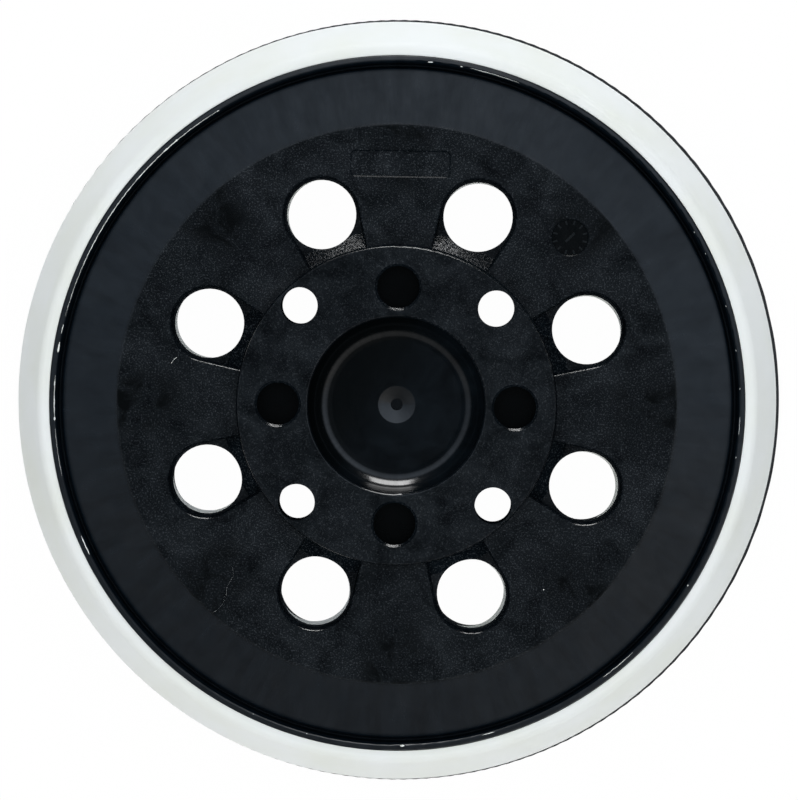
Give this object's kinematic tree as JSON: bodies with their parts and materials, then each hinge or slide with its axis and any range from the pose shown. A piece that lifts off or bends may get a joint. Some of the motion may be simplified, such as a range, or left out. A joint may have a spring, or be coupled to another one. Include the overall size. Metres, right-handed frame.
{
  "type": "sanding backing pad",
  "caption": "Round backing pad of a random-orbit sander: black moulded plate with hub, screw holes and dust ports, on a pale flared foam cushion with a hook facing.",
  "frame": {"origin": "centre of the hook face, at the level where the pad rests", "axes": "+Z along the pad's axis from the hook face to the sander, +Y towards the bare code panel on the plate"},
  "size_m": [0.1236, 0.1236, 0.015],
  "materials": {
    "glass_filled_nylon": "black glass-filled nylon, spark-eroded web, smooth brake ring",
    "polyurethane_foam": "off-white polyurethane foam with a closed moulded skin",
    "bond_film": "thin translucent polyurethane film",
    "hook_fabric": "black woven nylon with rows of hooks"
  },
  "bodies": {
    "root": {"backing_plate": "glass_filled_nylon", "foam_cushion": "polyurethane_foam", "bond_film": "bond_film", "hook_facing": "hook_fabric"}
  },
  "joints": []
}
